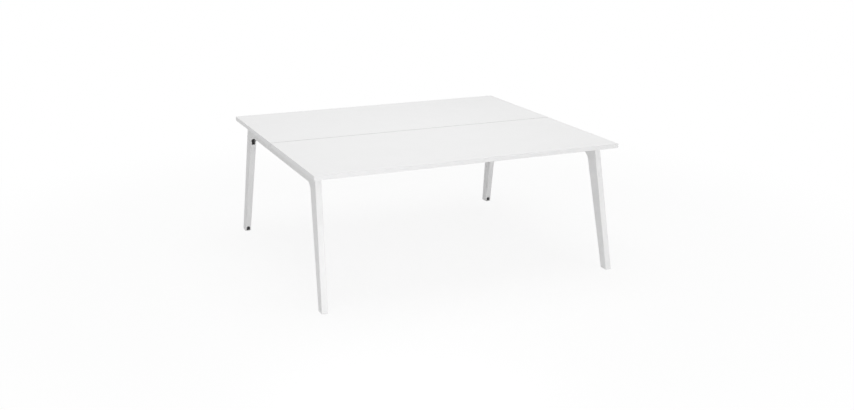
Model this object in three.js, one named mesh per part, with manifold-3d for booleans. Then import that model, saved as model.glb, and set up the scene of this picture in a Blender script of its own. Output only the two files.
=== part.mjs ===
// Benching desk for two: two worktops share one pair of splayed steel end frames.
// Millimetres, +Z up. +X runs along the seam between the worktops, and the front seat is at -Y.
// The origin is on the floor under the middle of the desk.

import * as THREE from 'three';
import { mergeVertices } from 'three/addons/utils/BufferGeometryUtils.js';
import Module from 'manifold-3d';

const wasm = await Module();
wasm.setup();

// Worktops
const deskLength = 1800;
const deskDepth = 1600;
const deskHeight = 745;
const boardThickness = 25;
const seamGap = 5;
const bandThickness = 2;
const bandEdgeRadius = 1.5;
const seamEdgeRadius = 0.4;

// End frames, with Y given for the rear leg and mirrored for the front one
const frameThickness = 35;
const frameOuterX = 883.4;
const frameLean = 0.0375;
const frameWall = 2;
const frameEdgeRadius = 3;
const legOuterYAtFloor = 811.3;
const legOuterYAtTop = 673;
const legInnerYAtFloor = 754.5;
const legInnerYAtTop = 577.9;
const legRimHeight = 1;
const crossbarHeight = 65.5;
const crossbarHalfLength = 540;
const cornerFilletRadius = 48;

// Cable keyhole in the frame's rounded inner corner, and floor arch in the leg's inner face
const keyholeHeight = 627;
const keyholeRadius = 15.2;
const keyholeSlotHalfWidth = 10.5;
const keyholeSlotDrop = 29;
const keyholeSlotCorner = 3;
const keyholeReach = 20;
const archWidth = 22;
const archHeight = 29;

// Foot inserts and levellers
const footInnerY = 776;
const footHeight = 40;
const levellerY = 790;
const levellerRecessRadius = 11.5;
const levellerRecessHeight = 10.5;
const padRadius = 11;
const padHeight = 5;
const padFloorClearance = 0.5;
const padChamfer = 1;
const padSocketDepth = 3.5;
const stemRadius = 4;
const stemTop = 48;
const stemHexAcrossFlats = 13;
const stemHexHeight = 4;

// Beams, bolts, brackets and screws
const beamY = 300;
const beamWidth = 30;
const beamHeight = 60;
const beamWall = 2;
const plateThickness = 5;
const plateWidth = 92;
const plateHeight = 54;
const plateDrainRadius = 7;
const boltSpacing = 62;
const boltRadius = 4;
const boltReach = 12;
const boltHexAcrossFlats = 13;
const boltHexHeight = 5.5;
const boltFlangeRadius = 8.5;
const boltFlangeHeight = 1.5;
const weldNutAcrossFlats = 15;
const weldNutHeight = 6;
const bracketWidth = 40;
const bracketReach = 40;
const bracketDrop = 30;
const bracketThickness = 3;
const bracketHoleInset = 25;
const beamBracketX = 400;
const crossbarBracketY = 470;
const screwRadius = 2.5;
const screwLength = 20;
const screwTipLength = 4;
const screwHeadRadius = 5;
const screwHeadFlatRadius = 3.75;
const screwHeadHeight = 3.2;
const screwSocketAcrossFlats = 4;
const screwSocketDepth = 2;

// Clearances, overruns of cutting tools and round sections
const fitGap = 0.3;
const cutOverrun = 10;
const roundSides = 16;
const hexSides = 6;
const edgeSteps = 3;
const arcSteps = 8;

// Heights and slopes that follow from the sizes above
const boardUnderside = deskHeight - boardThickness;
const barUnderside = boardUnderside - crossbarHeight;
const frameMidX = frameOuterX - frameThickness / 2;
const frameInnerX = frameOuterX - frameThickness;
const innerSplay = Math.atan2(legInnerYAtFloor - legInnerYAtTop, boardUnderside);
const outerSplay = Math.atan2(legOuterYAtFloor - legOuterYAtTop, boardUnderside);
const legInnerY = (z) => legInnerYAtFloor - z * Math.tan(innerSplay);
const legOuterY = (z) => legOuterYAtFloor - z * Math.tan(outerSplay);
const leanedX = (x, z) => x - Math.sign(x) * frameLean * z;
const hexRadius = (acrossFlats) => acrossFlats / Math.sqrt(3);
const holeRadius = (radius) => radius + fitGap;

const sides = { left: -1, right: 1 };
const seats = { front: -1, rear: 1 };

const finishes = {
  melamine: { color: 0xededed, roughness: 0.45, metalness: 0 },
  edging: { color: 0xebebeb, roughness: 0.4, metalness: 0 },
  frame: { color: 0xe9e9e9, roughness: 0.5, metalness: 0 },
  plastic: { color: 0x404040, roughness: 0.6, metalness: 0 },
  zinc: { color: 0xb9bcc0, roughness: 0.35, metalness: 1 },
};

const desk = new THREE.Group();

const addPart = (name, geometry, finish) => {
  const material = new THREE.MeshStandardMaterial({ ...finishes[finish], flatShading: true });
  const mesh = new THREE.Mesh(geometry, material);
  mesh.name = name;
  desk.add(mesh);
  return mesh;
};

// Closed solids for cutting and joining

const toSolid = (geometry) => {
  const bare = geometry.clone();
  bare.deleteAttribute('normal');
  bare.deleteAttribute('uv');
  const welded = mergeVertices(bare);
  const triangles = [];
  for (let i = 0; i < welded.index.count; i += 3) {
    const corners = [0, 1, 2].map((k) => welded.index.getX(i + k));
    if (new Set(corners).size === 3) {
      triangles.push(...corners);
    }
  }
  return new wasm.Manifold(new wasm.Mesh({
    numProp: 3,
    vertProperties: new Float32Array(welded.attributes.position.array),
    triVerts: new Uint32Array(triangles),
  }));
};

const toGeometry = (solid) => {
  const { vertProperties, triVerts } = solid.getMesh();
  const geometry = new THREE.BufferGeometry();
  geometry.setAttribute('position', new THREE.BufferAttribute(vertProperties, 3));
  geometry.setIndex(new THREE.BufferAttribute(triVerts, 1));
  return geometry;
};

const joinAll = (geometries) => geometries.map(toSolid).reduce((whole, piece) => whole.add(piece));

const cutAll = (solid, tools) => tools.map(toSolid).reduce((rest, tool) => rest.subtract(tool), solid);

// Basic forms

const boxBetween = (low, high) => {
  const size = high.map((value, axis) => value - low[axis]);
  const middle = high.map((value, axis) => (value + low[axis]) / 2);
  return new THREE.BoxGeometry(...size).translate(...middle);
};

const uprightCylinder = (radius, low, high, segments = roundSides) => {
  const cylinder = new THREE.CylinderGeometry(radius, radius, high - low, segments);
  return cylinder.rotateX(Math.PI / 2).translate(0, 0, (low + high) / 2);
};

const lengthwiseCylinder = (radius, from, to, segments = roundSides) => {
  const cylinder = new THREE.CylinderGeometry(radius, radius, Math.abs(to - from), segments);
  return cylinder.rotateZ(Math.PI / 2).translate((from + to) / 2, 0, 0);
};

const turned = (profile) => {
  const points = profile.map(([radius, z]) => new THREE.Vector2(radius, z));
  return new THREE.LatheGeometry(points, roundSides).rotateX(Math.PI / 2);
};

const roundedRectangle = (width, height, radius) => {
  const x = width / 2 - radius;
  const y = height / 2 - radius;
  const shape = new THREE.Shape();
  shape.absarc(x, -y, radius, -Math.PI / 2, 0, false);
  shape.absarc(x, y, radius, 0, Math.PI / 2, false);
  shape.absarc(-x, y, radius, Math.PI / 2, Math.PI, false);
  shape.absarc(-x, -y, radius, Math.PI, Math.PI * 1.5, false);
  return shape;
};

const plainRectangle = (width, height) => new THREE.Path([
  new THREE.Vector2(-width / 2, -height / 2),
  new THREE.Vector2(-width / 2, height / 2),
  new THREE.Vector2(width / 2, height / 2),
  new THREE.Vector2(width / 2, -height / 2),
]);

const rectangularTube = (width, height, wall, length) => {
  const section = roundedRectangle(width, height, frameEdgeRadius);
  section.holes.push(plainRectangle(width - 2 * wall, height - 2 * wall));
  const settings = { depth: length, bevelEnabled: false, curveSegments: edgeSteps };
  return new THREE.ExtrudeGeometry(section, settings).translate(0, 0, -length / 2);
};

// The end frames lean in towards each other, so every point moves in with its height.
const lean = (geometry) => {
  const position = geometry.attributes.position;
  for (let i = 0; i < position.count; i += 1) {
    position.setX(i, leanedX(position.getX(i), position.getZ(i)));
  }
  return geometry;
};

// A profile drawn in Y and Z, mirrored to its seat and swept through the thickness of a frame.
const sweepThroughFrame = (points, seat, side, cover, edgeRadius = 0) => {
  const shape = new THREE.Shape(points.map((point) => new THREE.Vector2(seat * point.x, point.y)));
  const depth = frameThickness - 2 * cover - 2 * edgeRadius;
  const geometry = new THREE.ExtrudeGeometry(shape, {
    depth,
    bevelEnabled: edgeRadius > 0,
    bevelThickness: edgeRadius,
    bevelSize: edgeRadius,
    bevelOffset: -edgeRadius,
    bevelSegments: edgeSteps,
  });
  const acrossFrame = new THREE.Matrix4().makeBasis(
    new THREE.Vector3(0, 1, 0),
    new THREE.Vector3(0, 0, 1),
    new THREE.Vector3(1, 0, 0),
  );
  return geometry.translate(0, 0, -depth / 2).applyMatrix4(acrossFrame).translate(side * frameMidX, 0, 0);
};

// Worktops and edge bands

const screwPlaces = (seat) => {
  const overCrossbar = leanedX(frameInnerX - fitGap - bracketHoleInset, boardUnderside);
  const besideBeam = beamY + beamWidth / 2 + bracketHoleInset;
  return Object.entries(sides).flatMap(([sideName, side]) => [
    { on: `beam_${sideName}`, x: side * beamBracketX, y: seat * besideBeam },
    { on: `crossbar_${sideName}`, x: side * overCrossbar, y: seat * crossbarBracketY },
  ]);
};

const worktopBoard = (seat) => {
  const halfLength = deskLength / 2 - bandThickness;
  const nearSeam = seamGap / 2 + bandThickness;
  const nearUser = deskDepth / 2 - bandThickness;
  const board = boxBetween(
    [-halfLength, Math.min(seat * nearSeam, seat * nearUser), boardUnderside],
    [halfLength, Math.max(seat * nearSeam, seat * nearUser), deskHeight],
  );
  const pilotTop = boardUnderside - bracketThickness + screwLength + fitGap;
  const pilots = screwPlaces(seat).map(({ x, y }) => (
    uprightCylinder(holeRadius(screwRadius), boardUnderside - cutOverrun, pilotTop).translate(x, y, 0)
  ));
  return toGeometry(cutAll(toSolid(board), pilots));
};

// The band's outer arrises are rounded. It is drawn facing +X, along Y.
const edgeBand = (length, edgeRadius) => {
  const halfHeight = boardThickness / 2;
  const shape = new THREE.Shape();
  const arcX = bandThickness - edgeRadius;
  const arcZ = halfHeight - edgeRadius;
  shape.moveTo(0, -halfHeight);
  shape.lineTo(arcX, -halfHeight);
  shape.absarc(arcX, -arcZ, edgeRadius, -Math.PI / 2, 0, false);
  shape.absarc(arcX, arcZ, edgeRadius, 0, Math.PI / 2, false);
  shape.lineTo(0, halfHeight);
  const settings = { depth: length, bevelEnabled: false, curveSegments: edgeSteps };
  return new THREE.ExtrudeGeometry(shape, settings).translate(0, 0, -length / 2).rotateX(Math.PI / 2);
};

const addWorktop = (seatName, seat) => {
  addPart(`${seatName}_worktop`, worktopBoard(seat), 'melamine');
  const middleZ = boardUnderside + boardThickness / 2;
  const middleY = seat * (deskDepth / 2 + seamGap / 2) / 2;
  const coreHalfLength = deskLength / 2 - bandThickness;
  const coreDepth = deskDepth / 2 - seamGap / 2 - 2 * bandThickness;
  const longBands = [
    { place: 'user', end: seat, edgeRadius: bandEdgeRadius },
    { place: 'seam', end: -seat, edgeRadius: seamEdgeRadius },
  ];
  for (const { place, end, edgeRadius } of longBands) {
    const band = addPart(`${seatName}_edge_band_${place}`, edgeBand(deskLength, edgeRadius), 'edging');
    band.position.set(0, middleY + end * coreDepth / 2, middleZ);
    band.rotation.z = end * Math.PI / 2;
  }
  for (const [sideName, side] of Object.entries(sides)) {
    const band = addPart(`${seatName}_edge_band_${sideName}`, edgeBand(coreDepth, bandEdgeRadius), 'edging');
    band.position.set(side * coreHalfLength, middleY, middleZ);
    band.rotation.z = side > 0 ? 0 : Math.PI;
  }
};

// Legs: a tapered hollow shell that turns into the crossbar with a rounded inner corner

const legOutline = (inset) => {
  const low = legRimHeight - cutOverrun;
  const high = boardUnderside - inset;
  const barEnd = crossbarHalfLength - cutOverrun;
  const innerShift = inset / Math.cos(innerSplay);
  const outerShift = inset / Math.cos(outerSplay);
  const filletZ = barUnderside - cornerFilletRadius;
  const filletY = legInnerY(filletZ) - cornerFilletRadius / Math.cos(innerSplay);
  const outline = new THREE.Shape();
  outline.moveTo(legInnerY(low) + innerShift, low);
  outline.lineTo(legOuterY(low) - outerShift, low);
  outline.lineTo(legOuterY(high) - outerShift, high);
  outline.lineTo(barEnd, high);
  outline.lineTo(barEnd, barUnderside + inset);
  outline.absarc(filletY, filletZ, cornerFilletRadius + inset, Math.PI / 2, innerSplay, true);
  return outline.getPoints(arcSteps);
};

// A frame on the leg's inner face: across, up along the face, and out of it.
const innerFaceAt = (seat, side, z) => {
  const across = new THREE.Vector3(seat, 0, 0);
  const upFace = new THREE.Vector3(0, -seat * Math.sin(innerSplay), Math.cos(innerSplay));
  const outOfFace = new THREE.Vector3(0, -seat * Math.cos(innerSplay), -Math.sin(innerSplay));
  const place = new THREE.Matrix4().makeBasis(across, upFace, outOfFace);
  return place.setPosition(side * frameMidX, seat * legInnerY(z), z);
};

const throughFace = (shape, from, to, place) => {
  const settings = { depth: to - from, bevelEnabled: false, curveSegments: arcSteps };
  return new THREE.ExtrudeGeometry(shape, settings).translate(0, 0, from).applyMatrix4(place);
};

const keyholeShape = () => {
  const neck = Math.asin(keyholeSlotHalfWidth / keyholeRadius);
  const cornerX = keyholeSlotHalfWidth - keyholeSlotCorner;
  const cornerY = keyholeSlotCorner - keyholeSlotDrop;
  const shape = new THREE.Shape();
  shape.absarc(0, 0, keyholeRadius, neck - Math.PI / 2, Math.PI * 1.5 - neck, false);
  shape.absarc(-cornerX, cornerY, keyholeSlotCorner, Math.PI, Math.PI * 1.5, false);
  shape.absarc(cornerX, cornerY, keyholeSlotCorner, -Math.PI / 2, 0, false);
  return shape;
};

const archShape = () => {
  const radius = archWidth / 2;
  const shape = new THREE.Shape();
  shape.moveTo(-radius, -cutOverrun);
  shape.lineTo(radius, -cutOverrun);
  shape.absarc(0, archHeight - radius, radius, 0, Math.PI, false);
  return shape;
};

const legBlank = (seat, side) => {
  const body = toSolid(sweepThroughFrame(legOutline(0), seat, side, 0, frameEdgeRadius));
  const farY = seat * (legOuterYAtFloor + cutOverrun);
  const nearY = seat * crossbarHalfLength;
  const nearX = side * (frameInnerX - cutOverrun);
  const farX = side * (frameOuterX + cutOverrun);
  const room = boxBetween(
    [Math.min(nearX, farX), Math.min(nearY, farY), legRimHeight],
    [Math.max(nearX, farX), Math.max(nearY, farY), deskHeight],
  );
  return body.intersect(toSolid(room));
};

const legShell = (seat, side) => {
  const cavity = sweepThroughFrame(legOutline(frameWall), seat, side, frameWall);
  const inCorner = innerFaceAt(seat, side, keyholeHeight);
  const keyhole = throughFace(keyholeShape(), -keyholeReach, keyholeReach, inCorner);
  const arch = throughFace(archShape(), -cutOverrun, cutOverrun, innerFaceAt(seat, side, legRimHeight));
  return lean(toGeometry(cutAll(legBlank(seat, side), [cavity, keyhole, arch])));
};

// Crossbars: rectangular tubes with weld nuts inside for the beam bolts

// The two bolts at one end of a beam: one towards the user and one towards the seam.
const boltPlaces = (seat) => Object.entries({ user: seat, seam: -seat }).map(([place, end]) => ({
  place,
  y: seat * beamY + end * boltSpacing / 2,
  z: boardUnderside - beamHeight / 2,
}));

const crossbar = (side) => {
  const tube = rectangularTube(frameThickness, crossbarHeight, frameWall, 2 * crossbarHalfLength);
  tube.rotateX(Math.PI / 2).translate(side * frameMidX, 0, barUnderside + crossbarHeight / 2);
  const nutFrom = side * (frameInnerX + frameWall / 2);
  const nutTo = side * (frameInnerX + frameWall + weldNutHeight);
  const holeFrom = side * (frameInnerX - cutOverrun);
  const holeTo = side * frameMidX;
  const places = Object.values(seats).flatMap(boltPlaces);
  const nuts = places.map(({ y, z }) => (
    lengthwiseCylinder(hexRadius(weldNutAcrossFlats), nutFrom, nutTo, hexSides).translate(0, y, z)
  ));
  const holes = places.map(({ y, z }) => (
    lengthwiseCylinder(holeRadius(boltRadius), holeFrom, holeTo).translate(0, y, z)
  ));
  return lean(toGeometry(cutAll(joinAll([tube, ...nuts]), holes)));
};

// Beams: rectangular tubes with a welded plate at each end

const plateFaceX = frameInnerX - fitGap;

const beam = (seat) => {
  const middleZ = boardUnderside - beamHeight / 2;
  const tubeLength = 2 * (plateFaceX - plateThickness / 2);
  const tube = rectangularTube(beamHeight, beamWidth, beamWall, tubeLength);
  tube.rotateY(Math.PI / 2).translate(0, seat * beamY, middleZ);
  const plates = Object.values(sides).map((side) => {
    const plate = new THREE.BoxGeometry(plateThickness, plateWidth, plateHeight);
    return plate.translate(side * (plateFaceX - plateThickness / 2), seat * beamY, middleZ);
  });
  const holePlaces = [
    ...boltPlaces(seat).map(({ y, z }) => ({ y, z, radius: holeRadius(boltRadius) })),
    { y: seat * beamY, z: middleZ, radius: plateDrainRadius },
  ];
  const holes = Object.values(sides).flatMap((side) => {
    const from = side * (plateFaceX - cutOverrun);
    const to = side * (plateFaceX + cutOverrun);
    return holePlaces.map(({ y, z, radius }) => lengthwiseCylinder(radius, from, to).translate(0, y, z));
  });
  return lean(toGeometry(cutAll(joinAll([tube, ...plates]), holes)));
};

const beamBolt = (side, y, z) => {
  const under = plateFaceX - plateThickness - fitGap;
  const flangeTop = under - boltFlangeHeight;
  const shank = lengthwiseCylinder(boltRadius, side * flangeTop, side * (frameInnerX + boltReach));
  const flange = lengthwiseCylinder(boltFlangeRadius, side * flangeTop, side * under);
  const hexFrom = side * (flangeTop - boltHexHeight);
  const hexTo = side * (under - boltFlangeHeight / 2);
  const hex = lengthwiseCylinder(hexRadius(boltHexAcrossFlats), hexFrom, hexTo, hexSides);
  return lean(toGeometry(joinAll([shank, flange, hex])).translate(0, y, z));
};

// Angle brackets, drawn with the upright flange on the plane X = 0 and the reach along +X

const angleBracket = () => {
  const outline = [
    [0, 0],
    [bracketReach, 0],
    [bracketReach, -bracketThickness],
    [bracketThickness, -bracketThickness],
    [bracketThickness, -bracketDrop],
    [0, -bracketDrop],
  ];
  const shape = new THREE.Shape(outline.map(([x, z]) => new THREE.Vector2(x, z)));
  const angle = new THREE.ExtrudeGeometry(shape, { depth: bracketWidth, bevelEnabled: false });
  angle.translate(0, 0, -bracketWidth / 2).rotateX(Math.PI / 2);
  const hole = uprightCylinder(holeRadius(screwRadius), -cutOverrun, cutOverrun);
  return toGeometry(toSolid(angle).subtract(toSolid(hole.translate(bracketHoleInset, 0, 0))));
};

const addBrackets = (seatName, seat) => {
  for (const [sideName, side] of Object.entries(sides)) {
    const onBeam = angleBracket().rotateZ(seat * Math.PI / 2);
    onBeam.translate(side * beamBracketX, seat * (beamY + beamWidth / 2), boardUnderside);
    addPart(`${seatName}_beam_${sideName}_bracket`, onBeam, 'frame');
    const onCrossbar = angleBracket().rotateZ(side > 0 ? Math.PI : 0);
    onCrossbar.translate(side * (frameInnerX - fitGap), seat * crossbarBracketY, boardUnderside);
    addPart(`${seatName}_crossbar_${sideName}_bracket`, lean(onCrossbar), 'frame');
  }
};

const boardScrew = () => {
  const body = turned([
    [0, -screwHeadHeight],
    [screwHeadFlatRadius, -screwHeadHeight],
    [screwHeadRadius, -screwHeadHeight / 2],
    [screwHeadRadius, 0],
    [screwRadius, 0],
    [screwRadius, screwLength - screwTipLength],
    [0, screwLength],
  ]);
  const socketFloor = screwSocketDepth - screwHeadHeight;
  const socketRadius = hexRadius(screwSocketAcrossFlats);
  const socket = uprightCylinder(socketRadius, -cutOverrun, socketFloor, hexSides);
  return toGeometry(toSolid(body).subtract(toSolid(socket)));
};

const addScrews = (seatName, seat) => {
  for (const { on, x, y } of screwPlaces(seat)) {
    const screw = addPart(`${seatName}_${on}_screw`, boardScrew(), 'zinc');
    screw.position.set(x, y, boardUnderside - bracketThickness - fitGap);
  }
};

// Feet: a plastic insert in the leg's end, with a threaded leveller that draws up inside it

const levellerX = (side) => leanedX(side * frameMidX, footHeight / 2);

const footInsert = (seat, side) => {
  const cavityFace = (z) => legOuterY(z) - frameWall / Math.cos(outerSplay) - fitGap;
  const outline = [
    new THREE.Vector2(footInnerY, 0),
    new THREE.Vector2(cavityFace(0), 0),
    new THREE.Vector2(cavityFace(footHeight), footHeight),
    new THREE.Vector2(footInnerY, footHeight),
  ];
  const block = lean(sweepThroughFrame(outline, seat, side, frameWall + fitGap));
  const tools = [
    uprightCylinder(levellerRecessRadius, -cutOverrun, levellerRecessHeight),
    uprightCylinder(holeRadius(stemRadius), 0, footHeight + cutOverrun),
  ];
  const atLeveller = tools.map((tool) => tool.translate(levellerX(side), seat * levellerY, 0));
  return toGeometry(cutAll(toSolid(block), atLeveller));
};

const levellerPad = () => {
  const low = padFloorClearance;
  const high = padFloorClearance + padHeight;
  const socketFloor = high - padSocketDepth;
  return turned([
    [0, low],
    [padRadius - padChamfer, low],
    [padRadius, low + padChamfer],
    [padRadius, high],
    [holeRadius(stemRadius), high],
    [holeRadius(stemRadius), socketFloor],
    [0, socketFloor],
  ]);
};

const levellerStem = () => {
  const padTop = padFloorClearance + padHeight;
  const hexLow = padTop + fitGap;
  const stem = uprightCylinder(stemRadius, padTop - padSocketDepth + fitGap, stemTop);
  const hex = uprightCylinder(hexRadius(stemHexAcrossFlats), hexLow, hexLow + stemHexHeight, hexSides);
  return toGeometry(joinAll([stem, hex]));
};

const addFoot = (name, seat, side) => {
  addPart(`${name}_foot_insert`, footInsert(seat, side), 'plastic');
  const pad = addPart(`${name}_leveller_pad`, levellerPad(), 'plastic');
  const stem = addPart(`${name}_leveller_stem`, levellerStem(), 'zinc');
  for (const piece of [pad, stem]) {
    piece.position.set(levellerX(side), seat * levellerY, 0);
  }
};

// Assembly

for (const [seatName, seat] of Object.entries(seats)) {
  addWorktop(seatName, seat);
  addPart(`${seatName}_beam`, beam(seat), 'frame');
  addBrackets(seatName, seat);
  addScrews(seatName, seat);
}

for (const [sideName, side] of Object.entries(sides)) {
  addPart(`${sideName}_crossbar`, crossbar(side), 'frame');
  for (const [seatName, seat] of Object.entries(seats)) {
    const name = `${seatName}_${sideName}`;
    addPart(`${name}_leg`, legShell(seat, side), 'frame');
    addFoot(name, seat, side);
    for (const { place, y, z } of boltPlaces(seat)) {
      addPart(`${name}_beam_bolt_${place}`, beamBolt(side, y, z), 'zinc');
    }
  }
}

export default desk;
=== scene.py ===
import math
import bpy
from mathutils import Matrix, Vector


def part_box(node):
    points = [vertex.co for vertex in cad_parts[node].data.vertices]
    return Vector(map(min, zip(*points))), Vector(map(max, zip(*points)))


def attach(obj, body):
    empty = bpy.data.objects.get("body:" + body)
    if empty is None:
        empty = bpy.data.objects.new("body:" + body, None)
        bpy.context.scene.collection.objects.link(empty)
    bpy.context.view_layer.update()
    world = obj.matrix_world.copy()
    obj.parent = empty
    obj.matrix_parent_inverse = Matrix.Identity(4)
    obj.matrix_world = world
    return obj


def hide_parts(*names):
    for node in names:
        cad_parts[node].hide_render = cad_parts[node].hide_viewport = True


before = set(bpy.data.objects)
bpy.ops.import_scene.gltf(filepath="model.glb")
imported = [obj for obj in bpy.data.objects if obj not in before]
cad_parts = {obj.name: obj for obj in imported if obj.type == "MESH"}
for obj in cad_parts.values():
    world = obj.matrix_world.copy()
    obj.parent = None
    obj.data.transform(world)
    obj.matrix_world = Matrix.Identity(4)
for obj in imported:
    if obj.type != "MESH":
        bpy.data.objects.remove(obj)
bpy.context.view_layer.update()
print("frame loaded:", len(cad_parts), "nodes")

xAxis, yAxis, zAxis = range(3)

# signs of X and Y at each corner of the desk
deskCorners = {
    "rear_right": (1, 1),
    "rear_left": (-1, 1),
    "front_right": (1, -1),
    "front_left": (-1, -1),
}

# what counts as one place in metres, and as flat or smooth in degrees
tolerances = {
    "place": 0.00002,
    "doubles": 0.000002,
    "slivers": 0.000001,
    "flat": 0.5,
    "smooth": 38,
}


# selection and small moves

def objectMode():
    bpy.ops.object.mode_set(mode="OBJECT")


def deselectAll():
    if bpy.context.mode != "OBJECT":
        objectMode()
    bpy.ops.object.select_all(action="DESELECT")


def pick(piece):
    deselectAll()
    piece.select_set(True)
    bpy.context.view_layer.objects.active = piece


def named(name):
    piece = bpy.context.object
    piece.name = name
    piece.data.name = name
    return piece


def editAll(piece):
    pick(piece)
    bpy.ops.object.mode_set(mode="EDIT")
    bpy.ops.mesh.select_all(action="SELECT")


def selectParts(piece, kind, test):
    # leaves the piece in edit mode with the parts selected whose corner places pass the test
    editAll(piece)
    bpy.ops.mesh.select_mode(type=kind)
    bpy.ops.mesh.select_all(action="DESELECT")
    objectMode()
    mesh = piece.data
    parts = {"VERT": mesh.vertices, "EDGE": mesh.edges, "FACE": mesh.polygons}[kind]
    for part in parts:
        corners = [part.co] if kind == "VERT" else [mesh.vertices[i].co for i in part.vertices]
        part.select = bool(test(corners))
    bpy.ops.object.mode_set(mode="EDIT")


def near(a, b):
    return abs(a - b) < tolerances["place"]


def allNear(corners, axis, value):
    return all(near(corner[axis], value) for corner in corners)


# tests for selectParts: parts that lie in a plane, edges square to an axis and edges that run along it

def inPlane(axis, *values):
    return lambda corners: any(allNear(corners, axis, value) for value in values)


def edgesAcross(axis):
    return lambda ends: near(ends[0][axis], ends[1][axis])


def edgesAlong(axis):
    return lambda ends: not near(ends[0][axis], ends[1][axis])


def moveSelected(x, y, z):
    bpy.ops.transform.translate(value=(x, y, z))


def extrude(x, y, z):
    bpy.ops.mesh.extrude_region_move(TRANSFORM_OT_translate={"value": (x, y, z)})


def bevelEdges(piece, test, size, steps):
    selectParts(piece, "EDGE", test)
    bpy.ops.mesh.bevel(offset=size, segments=steps, affect="EDGES", profile=0.5, clamp_overlap=False)
    objectMode()


def deleteFaces(piece, test):
    selectParts(piece, "FACE", test)
    bpy.ops.mesh.delete(type="FACE")
    objectMode()


def flatten(piece, axis, value, reach):
    # draws every point close to a plane onto it
    selectParts(piece, "VERT", lambda corners: abs(corners[0][axis] - value) < reach)
    scale = [1, 1, 1]
    scale[axis] = 0
    middle = [0, 0, 0]
    middle[axis] = value
    bpy.ops.transform.resize(value=scale, center_override=middle)
    objectMode()


def mergeFlats(piece):
    editAll(piece)
    bpy.ops.mesh.dissolve_limited(angle_limit=math.radians(tolerances["flat"]))
    objectMode()


def faceOutwards(piece):
    editAll(piece)
    bpy.ops.mesh.remove_doubles(threshold=tolerances["doubles"])
    bpy.ops.mesh.normals_make_consistent(inside=False)
    objectMode()


def applyModifier(piece, kind, **settings):
    pick(piece)
    modifier = piece.modifiers.new(kind.lower(), kind)
    for key, value in settings.items():
        setattr(modifier, key, value)
    bpy.ops.object.modifier_apply(modifier=modifier.name)


def combine(piece, tool, operation):
    applyModifier(piece, "BOOLEAN", operation=operation, solver="EXACT", object=tool)
    bpy.data.objects.remove(tool)


# first shapes

def addBlock(name, low, high):
    deselectAll()
    bpy.ops.mesh.primitive_cube_add(size=1, location=(low + high) / 2, scale=high - low)
    bpy.ops.object.transform_apply()
    return named(name)


def addRod(name, radius, low, high, sides):
    deselectAll()
    middle = (0, 0, (low + high) / 2)
    bpy.ops.mesh.primitive_cylinder_add(vertices=sides, radius=radius, depth=high - low, location=middle)
    bpy.ops.object.transform_apply()
    return named(name)


def hexRadius(acrossFlats):
    return acrossFlats / math.sqrt(3)


def addHex(name, acrossFlats, low, high):
    return addRod(name, hexRadius(acrossFlats), low, high, sides=6)


def addSheet(name, corners):
    # the corners go low left, low right, high left and high right
    deselectAll()
    bpy.ops.mesh.primitive_plane_add(size=1)
    sheet = named(name)
    for vertex, corner in zip(sheet.data.vertices, corners):
        vertex.co = corner
    return sheet


def addLine(name, points):
    # a plane drawn together into one point, which is then drawn out along the line
    deselectAll()
    bpy.ops.mesh.primitive_plane_add(size=1)
    line = named(name)
    editAll(line)
    bpy.ops.mesh.select_mode(type="VERT")
    bpy.ops.mesh.merge(type="CENTER")
    moveSelected(*points[0])
    for start, end in zip(points, points[1:]):
        extrude(*[b - a for a, b in zip(start, end)])
    objectMode()
    return line


def arcPoints(x, y, radius, start, end, steps):
    angles = [math.radians(start + (end - start) * step / steps) for step in range(steps + 1)]
    return [(x + radius * math.cos(angle), y + radius * math.sin(angle)) for angle in angles]


def addPrism(name, outline, low, high):
    # an outline in X and Y is filled and drawn out along Z
    prism = addLine(name, [(x, y, low) for x, y in outline])
    editAll(prism)
    bpy.ops.mesh.edge_face_add()
    extrude(0, 0, high - low)
    faceOutwards(prism)
    return prism


def drill(piece, radius, low, high, sides, place=Matrix()):
    # takes a rod out of the piece, drawn along Z and then put in place
    rod = addRod("drill", radius, low, high, sides)
    rod.data.transform(place)
    combine(piece, rod, "DIFFERENCE")


# copies, and what every finished piece gets

def mirrored(signX, signY):
    return Matrix.Diagonal((signX, signY, 1, 1))


def copyOf(master, name, place):
    pick(master)
    bpy.ops.object.duplicate()
    copy = named(name)
    copy.data.transform(place)
    if place.determinant() < 0:
        copy.data.flip_normals()
    return copy


def finishPiece(piece, finish, body, node):
    # a hollowed piece already has its two finishes
    if not piece.data.materials:
        piece.data.materials.append(finish)
    editAll(piece)
    bpy.ops.mesh.remove_doubles(threshold=tolerances["slivers"])
    bpy.ops.mesh.dissolve_degenerate(threshold=tolerances["slivers"])
    pick(piece)
    bpy.ops.object.shade_smooth_by_angle(angle=math.radians(tolerances["smooth"]))
    applyModifier(piece, "WEIGHTED_NORMAL", keep_sharp=True)
    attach(piece, body)
    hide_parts(node)


def cornerPieces(label, node, master, finish, body="desk"):
    # the master is the rear right one, and the others are its mirror images
    made = {}
    for corner, signs in deskCorners.items():
        seat, side = corner.split("_")
        name = seat + side.capitalize() + label
        made[seat, side] = master if signs == (1, 1) else copyOf(master, name, mirrored(*signs))
    for (seat, side), piece in made.items():
        words = {"seat": seat, "side": side}
        finishPiece(piece, finish, body.format(**words), node.format(**words))


# camera at the photograph's viewing angle

viewpoint = {
    "azimuth": -23.51,
    "elevation": 16.36,
    "distance": 6.73509,
    "target": (0.0674, 0.0, 0.2656),
    "lens": 46.351,
    "sensor": 36.0,
    "clipEnd": 200.0,
}


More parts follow.
